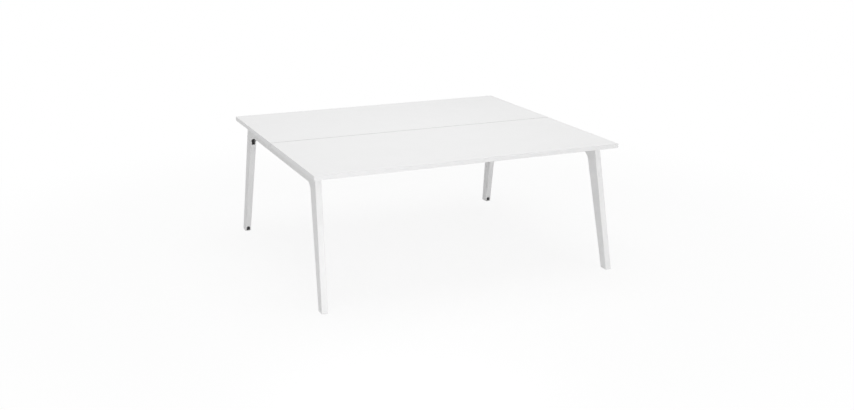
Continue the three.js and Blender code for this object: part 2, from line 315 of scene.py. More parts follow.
def placeCamera(spec):
    turn = math.radians(spec["azimuth"])
    rise = math.radians(spec["elevation"])
    back = Vector((math.sin(turn) * math.cos(rise), -math.cos(turn) * math.cos(rise), math.sin(rise)))
    deselectAll()
    bpy.ops.object.camera_add(location=Vector(spec["target"]) + back * spec["distance"])
    camera = named("photoCamera")
    camera.rotation_euler = back.to_track_quat("Z", "Y").to_euler()
    camera.data.sensor_fit = "HORIZONTAL"
    camera.data.sensor_width = spec["sensor"]
    camera.data.lens = spec["lens"]
    camera.data.clip_end = spec["clipEnd"]
    bpy.context.scene.camera = camera


placeCamera(viewpoint)
print("camera placed")


# shader maths as Python expressions

class Wire:
    # one output socket of a node tree

    def __init__(self, tree, socket=None):
        self.tree = tree
        self.socket = socket

    def node(self, kind, settings=None, inputs=None, output=0):
        made = self.tree.nodes.new(kind)
        for key, value in (settings or {}).items():
            if key == "stops":
                self.setStops(made.color_ramp.elements, value)
            else:
                setattr(made, key, value)
        for key, value in (inputs or {}).items():
            if isinstance(value, Wire):
                self.tree.links.new(value.socket, made.inputs[key])
            else:
                made.inputs[key].default_value = value
        return Wire(self.tree, made.outputs[output] if len(made.outputs) else None)

    def setStops(self, elements, stops):
        while len(elements) < len(stops):
            elements.new(0.5)
        for element, (place, value) in zip(elements, stops):
            element.position = place
            element.color = (value, value, value, 1)

    def output(self, name):
        # another output of the same node
        return Wire(self.tree, self.socket.node.outputs[name])

    def maths(self, operation, *values):
        return self.node("ShaderNodeMath", {"operation": operation}, dict(enumerate(values)))

    def __add__(self, other):
        return self.maths("ADD", self, other)

    def __radd__(self, other):
        return self.maths("ADD", other, self)

    def __sub__(self, other):
        return self.maths("SUBTRACT", self, other)

    def __rsub__(self, other):
        return self.maths("SUBTRACT", other, self)

    def __mul__(self, other):
        return self.maths("MULTIPLY", self, other)

    def __rmul__(self, other):
        return self.maths("MULTIPLY", other, self)

    def __abs__(self):
        return self.maths("ABSOLUTE", self)

    def swing(self, reach):
        # a noise made to rise and fall about 0
        return (self - 0.5) * reach

    def noise(self, coords, size, detail=2.0, roughness=0.5):
        # size is the width of one blotch in metres
        return self.node(
            "ShaderNodeTexNoise",
            {"noise_dimensions": "3D"},
            {"Vector": coords, "Scale": 1 / size, "Detail": detail, "Roughness": roughness},
        )

    def stretched(self, coords, scale):
        return self.node("ShaderNodeMapping", None, {"Vector": coords, "Scale": scale})

    def ramp(self, value, low, high):
        return self.node("ShaderNodeValToRGB", {"stops": [(low, 0.0), (high, 1.0)]}, {0: value})

    def between(self, factor, low, high):
        # 6, 7 and 2 are the colour sockets of a Mix node
        return self.node(
            "ShaderNodeMix",
            {"data_type": "RGBA"},
            {0: factor, 6: (*low, 1), 7: (*high, 1)},
            output=2,
        )

    def bump(self, height, depth, strength):
        return self.node(
            "ShaderNodeBump",
            None,
            {"Strength": strength, "Distance": depth, "Height": height},
        )

    def mixed(self, factor, first, second):
        return self.node("ShaderNodeMixShader", None, {0: factor, 1: first, 2: second})


def blankNodes(owner):
    # empties the node tree of a material or world
    owner.use_nodes = True
    owner.node_tree.nodes.clear()
    return Wire(owner.node_tree)


def newFinish(name, build, look):
    finish = bpy.data.materials.new(name)
    wire = blankNodes(finish)
    coords = wire.node("ShaderNodeTexCoord", output="Object")
    shader = wire.node("ShaderNodeBsdfPrincipled", None, build(wire, coords, look))
    wire.node("ShaderNodeOutputMaterial", None, {"Surface": shader})
    return finish


def shades(look):
    low = [c * (1 - look["spread"]) for c in look["colour"]]
    high = [min(1, c * (1 + look["spread"])) for c in look["colour"]]
    return low, high


# in every look a pattern's own number is its width in metres, its gloss is how far it swings
# the roughness, and its depth and bump shape the surface

# white melamine: a fine pearl texture, with the soft marks that wiping leaves in the gloss

melamineLook = {
    "colour": (0.847, 0.847, 0.847),
    "spread": 0.012,
    "mottle": 0.11,
    "pearl": 0.0011,
    "pearlGloss": 0.1,
    "pearlDepth": 0.00003,
    "pearlBump": 0.35,
    "wipe": 0.35,
    "wipeStretch": (0.35, 1, 1),
    "wipeGloss": 0.16,
    "roughness": 0.46,
    "specular": 0.35,
}


def melamineNodes(wire, coords, look):
    mottle = wire.noise(coords, look["mottle"], detail=4)
    pearl = wire.noise(coords, look["pearl"], detail=1)
    wipe = wire.noise(wire.stretched(coords, look["wipeStretch"]), look["wipe"], detail=3)
    gloss = wipe.swing(look["wipeGloss"])
    return {
        "Base Color": wire.between(mottle, *shades(look)),
        "Roughness": look["roughness"] + gloss + pearl.swing(look["pearlGloss"]),
        "Specular IOR Level": look["specular"],
        "Normal": wire.bump(pearl, look["pearlDepth"], look["pearlBump"]),
    }


# edge band: satin plastic, drawn out lengthwise, so its lines run level

edgingLook = {
    "colour": (0.795, 0.795, 0.795),
    "spread": 0.01,
    "mottle": 0.05,
    "lineHeight": 0.0012,
    "lineLength": 0.09,
    "lineGloss": 0.14,
    "lineDepth": 0.00002,
    "lineBump": 0.4,
    "roughness": 0.38,
    "specular": 0.4,
}

# the end bands are the same edging painted a shade lighter than the long ones: painted light for the
# light on the desk's ends, where the real desk has one band all round
endEdgingPaintedLighterLook = {**edgingLook, "colour": (0.855, 0.855, 0.855)}  # a shade lighter at the desk's ends


def edgingNodes(wire, coords, look):
    mottle = wire.noise(coords, look["mottle"], detail=3)
    flat = look["lineHeight"] / look["lineLength"]
    lines = wire.noise(wire.stretched(coords, (flat, flat, 1)), look["lineHeight"], detail=2)
    return {
        "Base Color": wire.between(mottle, *shades(look)),
        "Roughness": look["roughness"] + lines.swing(look["lineGloss"]),
        "Specular IOR Level": look["specular"],
        "Normal": wire.bump(lines, look["lineDepth"], look["lineBump"]),
    }


# powder coat: orange peel over the steel

powderLook = {
    "colour": (0.834, 0.834, 0.834),
    "spread": 0.014,
    "mottle": 0.07,
    "mottleGloss": 0.08,
    "peel": 0.0018,
    "peelGloss": 0.12,
    "peelDepth": 0.00005,
    "peelBump": 0.45,
    "peelShare": 0.75,  # of the bump, the rest is grit
    "grit": 0.0005,
    "roughness": 0.48,
    "specular": 0.4,
}


def powderNodes(wire, coords, look):
    mottle = wire.noise(coords, look["mottle"], detail=4)
    peel = wire.noise(coords, look["peel"], detail=1)
    grit = wire.noise(coords, look["grit"], detail=0)
    gloss = peel.swing(look["peelGloss"])
    height = peel * look["peelShare"] + grit * (1 - look["peelShare"])
    return {
        "Base Color": wire.between(mottle, *shades(look)),
        "Roughness": look["roughness"] + gloss + mottle.swing(look["mottleGloss"]),
        "Specular IOR Level": look["specular"],
        "Normal": wire.bump(height, look["peelDepth"], look["peelBump"]),
    }


# inside of the tubes: the white powder that drifts in thins out over the steel

insideLook = {
    "thinPowder": (0.88, 0.88, 0.88),
    "fullPowder": (0.92, 0.92, 0.92),
    "cloud": 0.03,
    "cloudEdge": (0.4, 0.75),
    "specks": 0.0025,
    "specksGloss": 0.2,
    "specksDepth": 0.0001,
    "specksBump": 0.3,
    "roughness": 0.7,
    "specular": 0.3,
}


def insideNodes(wire, coords, look):
    cloud = wire.noise(coords, look["cloud"], detail=5, roughness=0.6)
    specks = wire.noise(coords, look["specks"], detail=2)
    film = wire.ramp(cloud, *look["cloudEdge"])
    return {
        "Base Color": wire.between(film, look["thinPowder"], look["fullPowder"]),
        "Roughness": look["roughness"] + specks.swing(look["specksGloss"]),
        "Specular IOR Level": look["specular"],
        "Normal": wire.bump(specks, look["specksDepth"], look["specksBump"]),
    }


# black moulded plastic: spark-eroded grain, paler where it has been rubbed

plasticLook = {
    "colour": (0.1, 0.1, 0.101),
    "rubbed": (0.13, 0.13, 0.131),
    "rub": 0.012,
    "rubEdge": (0.35, 0.8),
    "grain": 0.0006,
    "grainGloss": 0.2,
    "grainDepth": 0.00004,
    "grainBump": 0.5,
    "roughness": 0.55,
    "specular": 0.45,
}


def plasticNodes(wire, coords, look):
    grain = wire.noise(coords, look["grain"], detail=2, roughness=0.6)
    rub = wire.noise(coords, look["rub"], detail=4)
    worn = wire.ramp(rub, *look["rubEdge"])
    return {
        "Base Color": wire.between(worn, look["colour"], look["rubbed"]),
        "Roughness": look["roughness"] + grain.swing(look["grainGloss"]),
        "Specular IOR Level": look["specular"],
        "Normal": wire.bump(grain, look["grainDepth"], look["grainBump"]),
    }


# zinc plate: bright passivated steel with faint cloudy patches and fine scratches

zincLook = {
    "bright": (0.62, 0.63, 0.65),
    "dull": (0.48, 0.49, 0.52),
    "cloud": 0.006,
    "cloudGloss": 0.25,
    "scratch": 0.0004,
    "scratchGloss": 0.08,
    "scratchDepth": 0.00002,
    "scratchBump": 0.25,
    "roughness": 0.33,
}


def zincNodes(wire, coords, look):
    cloud = wire.noise(coords, look["cloud"], detail=4, roughness=0.6)
    scratch = wire.noise(coords, look["scratch"], detail=2)
    gloss = cloud.swing(look["cloudGloss"])
    return {
        "Base Color": wire.between(cloud, look["dull"], look["bright"]),
        "Metallic": 1.0,
        "Roughness": look["roughness"] + gloss + scratch.swing(look["scratchGloss"]),
        "Normal": wire.bump(scratch, look["scratchDepth"], look["scratchBump"]),
    }


melamine = newFinish("whiteMelamine", melamineNodes, melamineLook)
edging = newFinish("whiteEdging", edgingNodes, edgingLook)
# the ends' finish is the edging with painted light, a shade lighter than the long bands
paintedLighterEndEdging = newFinish("whiteEdgingPaintedLighter", edgingNodes, endEdgingPaintedLighterLook)
powderCoat = newFinish("whitePowderCoat", powderNodes, powderLook)
tubeInside = newFinish("tubeInside", insideNodes, insideLook)
blackPlastic = newFinish("blackPlastic", plasticNodes, plasticLook)
zinc = newFinish("zincPlate", zincNodes, zincLook)
print("finishes made")


# worktops: the faces are eased at the rim, so a fine line shows where the bands are glued on

worktopSizes = {
    "ease": 0.0003,
    "easeSteps": 2,
}


def makeWorktop(seat):
    node = seat + "_worktop"
    low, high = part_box(node)
    board = addBlock(seat + "Worktop", low, high)
    bevelEdges(board, inPlane(zAxis, low.z, high.z), worktopSizes["ease"], worktopSizes["easeSteps"])
    finishPiece(board, melamine, "desk", node)


for seat in ("front", "rear"):
    makeWorktop(seat)
print("worktops made")


# edge bands: every outer arris is rounded, and the long bands turn the desk's corners

bandSizes = {
    "round": 0.0015,
    "seamRound": 0.0004,
    "roundSteps": 6,
}


def makeBand(seat, place):
    node = f"{seat}_edge_band_{place}"
    low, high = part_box(node)
    band = addBlock(seat + "Band" + place.capitalize(), low, high)
    size = bandSizes["seamRound" if place == "seam" else "round"]
    if place in ("left", "right"):
        # the end bands take the edging painted a shade lighter, painted light on the desk's ends
        finish = paintedLighterEndEdging
        outerX = low.x if place == "left" else high.x
        outer = lambda ends: allNear(ends, xAxis, outerX) and near(ends[0].z, ends[1].z)
    else:
        finish = edging
        gluedY = high.y if (seat == "front") == (place == "user") else low.y
        outer = lambda ends: not allNear(ends, yAxis, gluedY)
    bevelEdges(band, outer, size, bandSizes["roundSteps"])
    finishPiece(band, finish, "desk", node)


for seat in ("front", "rear"):
    for place in ("user", "seam", "left", "right"):
        makeBand(seat, place)
print("edge bands made")


# end frames: sheet steel legs and crossbars, modelled upright at the right-hand end and then leaned in

frameSizes = {
    "outerX": 0.8834,  # at the floor
    "lean": 0.0375,
    "thickness": 0.035,
    "wall": 0.002,
    "edgeRound": 0.003,
    "roundSteps": 5,
    "outerY": (0.8113, 0.673),  # at the floor and under the worktop
    "innerY": (0.7545, 0.5779),
    "cornerRadius": 0.048,
    "cornerSteps": 20,
}

fitGap = 0.0003
cutDepth = 0.01  # how far a cutting block reaches past the face

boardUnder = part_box("rear_worktop")[0].z
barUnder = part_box("right_crossbar")[0].z
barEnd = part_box("right_crossbar")[1].y
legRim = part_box("rear_right_leg")[0].z
frameInnerX = frameSizes["outerX"] - frameSizes["thickness"]
frameMidX = frameSizes["outerX"] - frameSizes["thickness"] / 2
innerSplay = math.atan2(frameSizes["innerY"][0] - frameSizes["innerY"][1], boardUnder)


def slopeAt(ends, z):
    return ends[0] + (ends[1] - ends[0]) * z / boardUnder


def leanIn(piece):
    # the end frames lean towards each other, so a point moves in with its height
    for vertex in piece.data.vertices:
        vertex.co.x -= math.copysign(frameSizes["lean"] * vertex.co.z, vertex.co.x)


def alongX(x, y, z):
    # turns a piece drawn along +Z so that it points to +X, and puts its origin in place
    return Matrix.Translation((x, y, z)) @ Matrix.Rotation(math.pi / 2, 4, "Y")


def roundEdges(piece, test):
    bevelEdges(piece, test, frameSizes["edgeRound"], frameSizes["roundSteps"])


def hollowOut(piece, openEnds):
    # opens the ends of a solid and leaves a wall, with its inside on the second finish
    deleteFaces(piece, openEnds)
    faceOutwards(piece)
    for finish in (powderCoat, tubeInside):
        piece.data.materials.append(finish)
    applyModifier(
        piece,
        "SOLIDIFY",
        thickness=frameSizes["wall"],
        offset=-1,
        use_even_offset=True,
        material_offset=1,
    )


def makeTube(name, section, axis, length):
    # the section at the low end is drawn out, rounded and hollowed
    tube = addSheet(name, section)
    way = [0, 0, 0]
    way[axis] = length
    editAll(tube)
    extrude(*way)
    faceOutwards(tube)
    roundEdges(tube, edgesAlong(axis))
    hollowOut(tube, inPlane(axis, -length / 2, length / 2))
    return tube


def makeLegBlank(name):
    outerX = frameSizes["outerX"]
    halfWall = frameSizes["wall"] / 2
    innerTop = slopeAt(frameSizes["innerY"], barUnder)
    leg = addSheet(name, [
        (outerX, slopeAt(frameSizes["innerY"], legRim), legRim),
        (outerX, slopeAt(frameSizes["outerY"], legRim), legRim),
        (outerX, innerTop, barUnder),
        (outerX, slopeAt(frameSizes["outerY"], boardUnder), boardUnder),
    ])
    # the top edge grows into the stub that meets the crossbar
    selectParts(leg, "EDGE", lambda ends: min(end.z for end in ends) > barUnder - halfWall)
    extrude(0, barEnd - innerTop, 0)
    bpy.ops.transform.resize(value=(1, 0, 1), center_override=(0, barEnd, 0))
    editAll(leg)
    extrude(-frameSizes["thickness"], 0, 0)
    faceOutwards(leg)
    mergeFlats(leg)
    # the rounded inner corner, then every edge that runs round the outline
    tangent = frameSizes["cornerRadius"] * math.tan((math.pi / 2 - innerSplay) / 2)
    bevelEdges(
        leg,
        lambda ends: allNear(ends, yAxis, innerTop) and allNear(ends, zAxis, barUnder),
        tangent,
        frameSizes["cornerSteps"],
    )
    openEnds = lambda ends: allNear(ends, zAxis, legRim) or allNear(ends, yAxis, barEnd)
    roundEdges(leg, lambda ends: near(ends[0].x, ends[1].x) and not openEnds(ends))
    hollowOut(leg, openEnds)
    flatten(leg, zAxis, legRim, halfWall)
    flatten(leg, yAxis, barEnd, halfWall)
    return leg


# openings with a fine chamfer: the keyhole for cables in the rounded corner and the arch at the floor

keyholeSizes = {
    "height": 0.627,
    "radius": 0.0152,
    "slotHalfWidth": 0.0105,
    "slotDrop": 0.029,
    "slotCorner": 0.003,
    "reach": 0.02,
    "roundSteps": 48,
    "cornerSteps": 6,
    "curveSteps": 14,
}

archSizes = {
    "width": 0.022,
    "height": 0.029,
    "reach": 0.01,
    "roundSteps": 32,
}

rimSizes = {
    "ease": 0.0005,
    "slant": 0.000575,
    "proud": 0.002,  # how far the flare stands out of the face
}


def facePlace(z):
    # across the leg's inner face, up along it and out of it
    tilt = Matrix.Rotation(math.pi / 2 + innerSplay, 4, "X")
    return Matrix.Translation((frameMidX, slopeAt(frameSizes["innerY"], z), z)) @ tilt


def keyholeOutline(grow):
    radius = keyholeSizes["radius"] + grow
    halfWidth = keyholeSizes["slotHalfWidth"] + grow
    corner = keyholeSizes["slotCorner"] + grow
    cornerX = halfWidth - corner
    cornerY = keyholeSizes["slotCorner"] - keyholeSizes["slotDrop"]
    neck = math.degrees(math.asin(halfWidth / radius))
    lobe = arcPoints(0, 0, radius, neck - 90, 270 - neck, keyholeSizes["roundSteps"])
    left = arcPoints(-cornerX, cornerY, corner, 180, 270, keyholeSizes["cornerSteps"])
    right = arcPoints(cornerX, cornerY, corner, 270, 360, keyholeSizes["cornerSteps"])
    return lobe + left + right


def archOutline(grow):
    middle = archSizes["height"] - archSizes["width"] / 2
    radius = archSizes["width"] / 2 + grow
    crown = arcPoints(0, middle, radius, 0, 180, archSizes["roundSteps"])
    return [(-radius, -cutDepth - grow), (radius, -cutDepth - grow)] + crown


def rimFlare(outline):
    # a wider prism whose slanted foot leaves the chamfer
    ease = rimSizes["ease"]
    flare = addPrism("rimFlare", outline(ease), -ease, rimSizes["proud"])
    bevelEdges(flare, inPlane(zAxis, -ease), rimSizes["slant"], 1)
    return flare


def followCorner(flare):
    # the flat flare is cut across above the face's flat part and drawn out onto the curve
    radius = frameSizes["cornerRadius"]
    curveZ = barUnder - radius + radius * math.sin(innerSplay)
    start = (curveZ - keyholeSizes["height"]) / math.cos(innerSplay)
    end = keyholeSizes["radius"] + rimSizes["ease"]
    steps = keyholeSizes["curveSteps"]
    for step in range(steps):
        editAll(flare)
        bpy.ops.mesh.bisect(plane_co=(0, start + (end - start) * step / steps, 0), plane_no=(0, 1, 0))
    objectMode()
    for vertex in flare.data.vertices:
        rise = max(0, vertex.co.y - start)
        vertex.co.z = radius - math.sqrt((radius - vertex.co.z) ** 2 - rise ** 2)


def cutOpening(leg, outline, reach, flare, z):
    cut = addPrism("openingCut", outline(0), -reach, reach)
    combine(cut, flare, "UNION")
    faceOutwards(cut)
    cut.data.transform(facePlace(z))
    combine(leg, cut, "DIFFERENCE")


def makeLeg():
    leg = makeLegBlank("rearRightLeg")
    keyholeFlare = rimFlare(keyholeOutline)
    followCorner(keyholeFlare)
    cutOpening(leg, keyholeOutline, keyholeSizes["reach"], keyholeFlare, keyholeSizes["height"])
    cutOpening(leg, archOutline, archSizes["reach"], rimFlare(archOutline), legRim)
    leanIn(leg)
    return leg


cornerPieces("Leg", "{seat}_{side}_leg", makeLeg(), powderCoat)
print("legs made")


# weld beads: a row of drops that run into each other, drawn along Z and left half sunk in the corner

weldSizes = {
    "radius": 0.0022,
    "ripple": 0.00035,
    "pitch": 0.0021,
    "drop": ((0.15, 1.0), (0.45, 0.0), (0.8, 1 / 3)),  # places along it, and their share of the ripple
    "sides": 16,
    "plateLength": 0.042,
    "bracketLength": 0.014,
}


def makeBead(length):
    drops = round(length / weldSizes["pitch"])
    pitch = length / drops
    points = [(0, 0, 0)]
    for drop in range(drops):
        for place, share in weldSizes["drop"]:
            radius = weldSizes["radius"] - weldSizes["ripple"] * share
            points.append((radius, 0, (drop + place) * pitch))
    bead = addLine("weldBead", points + [(0, 0, length)])
    applyModifier(
        bead,
        "SCREW",
        steps=weldSizes["sides"],
        render_steps=weldSizes["sides"],
        use_merge_vertices=True,
    )
    faceOutwards(bead)
    bead.data.transform(Matrix.Translation((0, 0, -length / 2)))
    return bead


def weldOn(piece, length, places):
    for place in places:
        bead = makeBead(length)
        bead.data.transform(Matrix.Translation(place))
        combine(piece, bead, "UNION")


# beams and their bolts: the crossbars' weld nuts take their places from these too

beamSizes = {
    "y": 0.300,
    "width": 0.030,
    "height": 0.060,
    "plate": (0.005, 0.092, 0.054),
    "plateCorner": 0.007,
    "plateCornerSteps": 6,
    "plateEase": 0.0006,
    "plateEaseSteps": 2,
    "drain": 0.007,
    "holeSides": 48,
    "boltSpacing": 0.062,
}

boltSizes = {
    "radius": 0.004,
    "root": 0.0034,
    "pitch": 0.00125,
    "reach": 0.012,
    "hexAcross": 0.013,
    "hexHeight": 0.0055,
    "hexChamfer": 0.0009,
    "flangeRadius": 0.0085,
    "flangeHeight": 0.0015,
    "flangeRound": 0.0007,
    "flangeSteps": 4,
    "flangeSides": 64,
}

# Y of the two bolts at the rear beam's right end, on the user's side and the seam's, and their height
boltPlaces = {
    "user": beamSizes["y"] + beamSizes["boltSpacing"] / 2,
    "seam": beamSizes["y"] - beamSizes["boltSpacing"] / 2,
}
boltZ = boardUnder - beamSizes["height"] / 2
boltHole = boltSizes["radius"] + fitGap


# crossbars: square-section tubes between the legs, with weld nuts inside for the beam bolts

crossbarSizes = {
    "nutAcross": 0.015,
    "nutHeight": 0.006,
    "nutEase": 0.0006,
    "holeSides": 32,
}


def makeCrossbar():
    outerX = frameSizes["outerX"]
    section = [
        (frameInnerX, -barEnd, barUnder),
        (outerX, -barEnd, barUnder),
        (frameInnerX, -barEnd, boardUnder),
        (outerX, -barEnd, boardUnder),
    ]
    bar = makeTube("rightCrossbar", section, yAxis, 2 * barEnd)
    halfWall = frameSizes["wall"] / 2
    halfWay = frameSizes["thickness"] / 2
    for y in [side * place for place in boltPlaces.values() for side in (-1, 1)]:
        nut = addHex("weldNut", crossbarSizes["nutAcross"], 0, crossbarSizes["nutHeight"] + halfWall)
        bevelEdges(nut, edgesAcross(zAxis), crossbarSizes["nutEase"], 1)
        nut.data.transform(alongX(frameInnerX + halfWall, y, boltZ))
        combine(bar, nut, "UNION")
        place = alongX(frameInnerX, y, boltZ)
        drill(bar, boltHole, -cutDepth, halfWay, crossbarSizes["holeSides"], place)
    leanIn(bar)
    return bar


# beams: tubes under the worktops with a welded plate at each end

plateFaceX = frameInnerX - fitGap


def makePlate():
    thick, wide, tall = beamSizes["plate"]
    middle = Vector((plateFaceX - thick / 2, beamSizes["y"], boltZ))
    half = Vector((thick, wide, tall)) / 2
    plate = addBlock("rightPlate", middle - half, middle + half)
    bevelEdges(plate, edgesAlong(xAxis), beamSizes["plateCorner"], beamSizes["plateCornerSteps"])
    bevelEdges(plate, edgesAcross(xAxis), beamSizes["plateEase"], beamSizes["plateEaseSteps"])
    holes = [(y, boltHole) for y in boltPlaces.values()] + [(beamSizes["y"], beamSizes["drain"])]
    for y, radius in holes:
        place = alongX(middle.x, y, middle.z)
        drill(plate, radius, -cutDepth, cutDepth, beamSizes["holeSides"], place)
    return plate


def makeBeam():
    thick = beamSizes["plate"][0]
    endX = plateFaceX - thick / 2
    weldX = plateFaceX - thick
    nearY = beamSizes["y"] - beamSizes["width"] / 2
    farY = beamSizes["y"] + beamSizes["width"] / 2
    low = boardUnder - beamSizes["height"]
    section = [
        (-endX, nearY, low),
        (-endX, farY, low),
        (-endX, nearY, boardUnder),
        (-endX, farY, boardUnder),
    ]
    beam = makeTube("rearBeam", section, xAxis, 2 * endX)
    plate = makePlate()
    leftPlate = copyOf(plate, "leftPlate", mirrored(-1, 1))
    combine(beam, plate, "UNION")
    combine(beam, leftPlate, "UNION")
    middle = (low + boardUnder) / 2
    welds = [(x, y, middle) for x in (-weldX, weldX) for y in (nearY, farY)]
    weldOn(beam, weldSizes["plateLength"], welds)
    leanIn(beam)
    return beam


rightCrossbar = makeCrossbar()
leftCrossbar = copyOf(rightCrossbar, "leftCrossbar", mirrored(-1, 1))
for name, bar in {"right": rightCrossbar, "left": leftCrossbar}.items():
    finishPiece(bar, powderCoat, "desk", name + "_crossbar")
print("crossbars made")
rearBeam = makeBeam()
frontBeam = copyOf(rearBeam, "frontBeam", mirrored(1, -1))
for name, beam in {"rear": rearBeam, "front": frontBeam}.items():
    finishPiece(beam, powderCoat, "desk", name + "_beam")
print("beams made")


# threads: one tooth wound up a screw line, then trimmed to the length of its rod

threadShape = {
    "flank": 0.4,  # shares of the pitch
    "crest": 0.12,
    "spareTurns": 2,  # wound past each end
    "trimWidth": 1.5,  # share of the radius
    "steps": 28,
}

hexTurning = {
    "spare": 0.0001,  # the turned rod's radius past the hexagon's corners
    "sides": 48,
}


def makeThread(name, sizes, low, high):
    radius = sizes["radius"]
    root = sizes["root"]
    pitch = sizes["pitch"]
    spareTurns = threadShape["spareTurns"]
    start = low - spareTurns * pitch
    flank = threadShape["flank"] * pitch
    crest = threadShape["crest"] * pitch
    thread = addLine(name, [
        (root, 0, start),
        (radius, 0, start + flank),
        (radius, 0, start + flank + crest),
        (root, 0, start + 2 * flank + crest),
        (root, 0, start + pitch),
    ])
    applyModifier(
        thread,
        "SCREW",
        screw_offset=pitch,
        iterations=math.ceil((high - low) / pitch) + 2 * spareTurns,
        steps=threadShape["steps"],
        render_steps=threadShape["steps"],
    )
    faceOutwards(thread)
    editAll(thread)
    bpy.ops.mesh.fill_holes(sides=0)
    faceOutwards(thread)
    trim = addRod("trim", threadShape["trimWidth"] * radius, low, high, threadShape["steps"])
    combine(thread, trim, "INTERSECT")
    return thread


def makeHexHead(name, acrossFlats, low, high, chamfer):
    # a hexagon whose corners are turned off at both ends
    head = addHex(name, acrossFlats, low, high)
    turnedRadius = hexRadius(acrossFlats) + hexTurning["spare"]
    turned = addRod("turned", turnedRadius, low, high, hexTurning["sides"])
    bevelEdges(turned, edgesAcross(zAxis), chamfer, 1)
    combine(head, turned, "INTERSECT")
    return head


# flange bolts that hold the beam plates to the weld nuts, drawn with the shank along +Z

def makeBolt():
    flangeTop = -boltSizes["flangeHeight"]
    headTop = flangeTop - boltSizes["hexHeight"]
    inFlange = flangeTop / 2
    length = boltSizes["reach"] + beamSizes["plate"][0] + 2 * fitGap
    bolt = addRod("boltMaster", boltSizes["flangeRadius"], flangeTop, 0, boltSizes["flangeSides"])
    bevelEdges(bolt, inPlane(zAxis, flangeTop), boltSizes["flangeRound"], boltSizes["flangeSteps"])
    head = makeHexHead("boltHead", boltSizes["hexAcross"], headTop, inFlange, boltSizes["hexChamfer"])
    combine(bolt, head, "UNION")
    combine(bolt, makeThread("boltShank", boltSizes, inFlange, length), "UNION")
    return bolt


def placeBolts():
    master = makeBolt()
    boltX = plateFaceX - beamSizes["plate"][0] - fitGap
    for place, y in boltPlaces.items():
        label = "Bolt" + place.capitalize()
        bolt = copyOf(master, "rearRight" + label, alongX(boltX, y, boltZ))
        leanIn(bolt)
        cornerPieces(label, "{seat}_{side}_beam_bolt_" + place, bolt, zinc)
    bpy.data.objects.remove(master)


placeBolts()
print("bolts made")


# angle brackets: folded strip with round corners, drawn with the upright leaf on X = 0

bracketSizes = {
    "width": 0.040,
    "reach": 0.040,
    "drop": 0.030,
    "thickness": 0.003,
    "fold": 0.0045,
    "foldSteps": 6,
    "corner": 0.007,
    "cornerSteps": 6,
    "ease": 0.0004,
    "easeSteps": 2,
    "easeAngle": 50,  # sharper edges than this are eased
    "holeInset": 0.025,
    "holeRadius": 0.0028,
    "holeSides": 40,
    "beamX": 0.400,
    "crossbarY": 0.470,
}


def makeBracket():
    half = bracketSizes["width"] / 2
    reach = bracketSizes["reach"]
    drop = bracketSizes["drop"]
    bracket = addSheet("bracketMaster", [
        (0, -half, 0),
        (reach, -half, 0),
        (0, half, 0),
        (reach, half, 0),
    ])
    selectParts(bracket, "EDGE", inPlane(xAxis, 0))
    extrude(0, 0, -drop)
    bevelEdges(
        bracket,
        lambda ends: allNear(ends, xAxis, 0) and allNear(ends, zAxis, 0),
        bracketSizes["fold"],
        bracketSizes["foldSteps"],
    )
    selectParts(bracket, "VERT", lambda ends: near(ends[0].x, reach) or near(ends[0].z, -drop))
    bpy.ops.mesh.bevel(
        offset=bracketSizes["corner"],
        segments=bracketSizes["cornerSteps"],
        affect="VERTICES",
    )
    objectMode()
    applyModifier(
        bracket,
        "SOLIDIFY",
        thickness=bracketSizes["thickness"],
        offset=-1,
        use_even_offset=True,
    )
    faceOutwards(bracket)
    holePlace = Matrix.Translation((bracketSizes["holeInset"], 0, 0))
    drill(bracket, bracketSizes["holeRadius"], -cutDepth, cutDepth, bracketSizes["holeSides"], holePlace)
    applyModifier(
        bracket,
        "BEVEL",
        width=bracketSizes["ease"],
        segments=bracketSizes["easeSteps"],
        limit_method="ANGLE",
        angle_limit=math.radians(bracketSizes["easeAngle"]),
    )
    weldOn(bracket, weldSizes["bracketLength"], [(fitGap, y, -drop / 2) for y in (-half, half)])
    return bracket


def turnedAt(x, y, angle):
    # under the worktop, turned about the upright
    return Matrix.Translation((x, y, boardUnder)) @ Matrix.Rotation(angle, 4, "Z")


def placeBrackets():
    master = makeBracket()
    beamFace = beamSizes["y"] + beamSizes["width"] / 2
    places = {
        "beam": turnedAt(bracketSizes["beamX"], beamFace, math.pi / 2),
        "crossbar": turnedAt(frameInnerX - fitGap, bracketSizes["crossbarY"], math.pi),
    }
    for holder, place in places.items():
        label = holder.capitalize() + "Bracket"
        bracket = copyOf(master, "rearRight" + label, place)
        if holder == "crossbar":
            leanIn(bracket)
        cornerPieces(label, "{seat}_" + holder + "_{side}_bracket", bracket, powderCoat)
    bpy.data.objects.remove(master)


placeBrackets()
print("brackets made")


# board screws: domed heads with a hexagon socket, drawn from under the head upwards

screwSizes = {
    "radius": 0.0025,
    "root": 0.0018,
    "pitch": 0.0018,
    "length": 0.020,
    "tip": 0.004,
    "headRadius": 0.005,
    "headHeight": 0.0032,
    "headRound": 0.0019,
    "headSteps": 6,
    "headSides": 64,
    "shankSink": 0.0008,  # in the head
    "socketAcross": 0.004,
    "socketDepth": 0.002,
}


def makeScrew():
    bottom = -screwSizes["headHeight"]
    length = screwSizes["length"]
    screw = addRod("screwMaster", screwSizes["headRadius"], bottom, 0, screwSizes["headSides"])
    bevelEdges(screw, inPlane(zAxis, bottom), screwSizes["headRound"], screwSizes["headSteps"])
    socketTop = bottom + screwSizes["socketDepth"]
    socket = addHex("socket", screwSizes["socketAcross"], bottom - cutDepth, socketTop)
    combine(screw, socket, "DIFFERENCE")
    shank = makeThread("screwShank", screwSizes, -screwSizes["shankSink"], length)
    # a cone twice as wide and as long as the tip takes the thread down to its point
    taper = addRod("taper", 2 * screwSizes["radius"], -cutDepth, length, threadShape["steps"])
    selectParts(taper, "FACE", inPlane(zAxis, length))
    moveSelected(0, 0, -2 * screwSizes["tip"])
    extrude(0, 0, 2 * screwSizes["tip"])
    bpy.ops.mesh.merge(type="CENTER")
    faceOutwards(taper)
    combine(shank, taper, "INTERSECT")
    combine(screw, shank, "UNION")
    return screw


